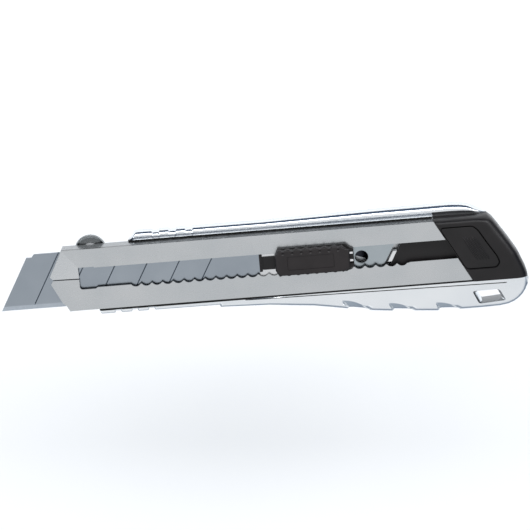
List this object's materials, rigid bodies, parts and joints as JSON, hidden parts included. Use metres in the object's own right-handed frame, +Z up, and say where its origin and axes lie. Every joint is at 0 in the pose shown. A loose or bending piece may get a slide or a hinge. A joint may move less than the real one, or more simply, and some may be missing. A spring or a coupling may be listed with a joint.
{
  "type": "snap-off utility knife",
  "caption": "Heavy-duty snap-off utility knife with a steel blade channel, self-locking thumb slider, spare blade magazine and pull-off end cap in a cast metal handle.",
  "frame": {"origin": "centre of the bounding box at the table the knife lies on", "axes": "+X along the knife from the blade tip to the end cap, +Y towards the spine, +Z up out of the face that carries the thumb knob"},
  "size_m": [0.2352, 0.0474, 0.0158],
  "materials": {
    "cast_metal": "satin",
    "channel_steel": "satin",
    "blade_steel": "satin",
    "spare_blade_steel": "satin",
    "spring_steel": "polished",
    "blued_steel": "satin",
    "screw_steel": "satin",
    "carrier_steel": "satin",
    "black_plastic": "satin",
    "liner_plastic": "matte",
    "grip_plastic": "matte",
    "wheel_metal": "satin"
  },
  "bodies": {
    "housing": {"handle_casting": "cast_metal", "channel_liner": "liner_plastic", "blade_channel": "channel_steel", "channel_screws": "screw_steel", "magazine_spring": "blued_steel", "spare_blade_1": "spare_blade_steel", "spare_blade_2": "spare_blade_steel", "wheel_axle": "screw_steel", "wheel_washer": "spring_steel"},
    "slider": {"carrier": "carrier_steel", "slide_block": "black_plastic", "blade_stud": "screw_steel", "working_blade": "blade_steel", "pawl_spring": "spring_steel"},
    "knob": {"thumb_knob": "black_plastic", "knob_grip": "grip_plastic", "knob_spring": "spring_steel"},
    "pawl": {"lock_pawl": "carrier_steel"},
    "cap": {"end_cap": "black_plastic", "magazine_tongue": "black_plastic", "blade_stop": "spring_steel", "tongue_screws": "screw_steel", "latch_spring": "spring_steel"},
    "latch": {"latch_pad": "grip_plastic"},
    "wheel": {"thumbwheel": "wheel_metal"}
  },
  "joints": [
    {"name": "blade_feed", "type": "slide", "parent": "housing", "child": "slider", "axis": [-1, 0, 0], "range_m": [-0.038, 0.076]},
    {"name": "knob_shift", "type": "slide", "parent": "slider", "child": "knob", "axis": [-1, 0, 0], "range_m": [-0.0012, 0.0012], "stiffness_N_per_m": 800},
    {"name": "pawl_release", "type": "slide", "parent": "slider", "child": "pawl", "axis": [0, 1, 0], "range_m": [0, 0.0013], "stiffness_N_per_m": 500, "springref_m": -0.0008},
    {"name": "cap_pull", "type": "slide", "parent": "housing", "child": "cap", "axis": [1, 0, 0], "range_m": [0, 0.034]},
    {"name": "latch_press", "type": "slide", "parent": "cap", "child": "latch", "axis": [0, 0, -1], "range_m": [0, 0.0008], "stiffness_N_per_m": 900, "springref_m": -0.0004, "deforming": ["latch_spring"]},
    {"name": "wheel_turn", "type": "hinge", "parent": "housing", "child": "wheel", "pos_m": [-0.076, 0.01485, 0.0007], "axis": [0, 0, 1], "continuous": true}
  ]
}
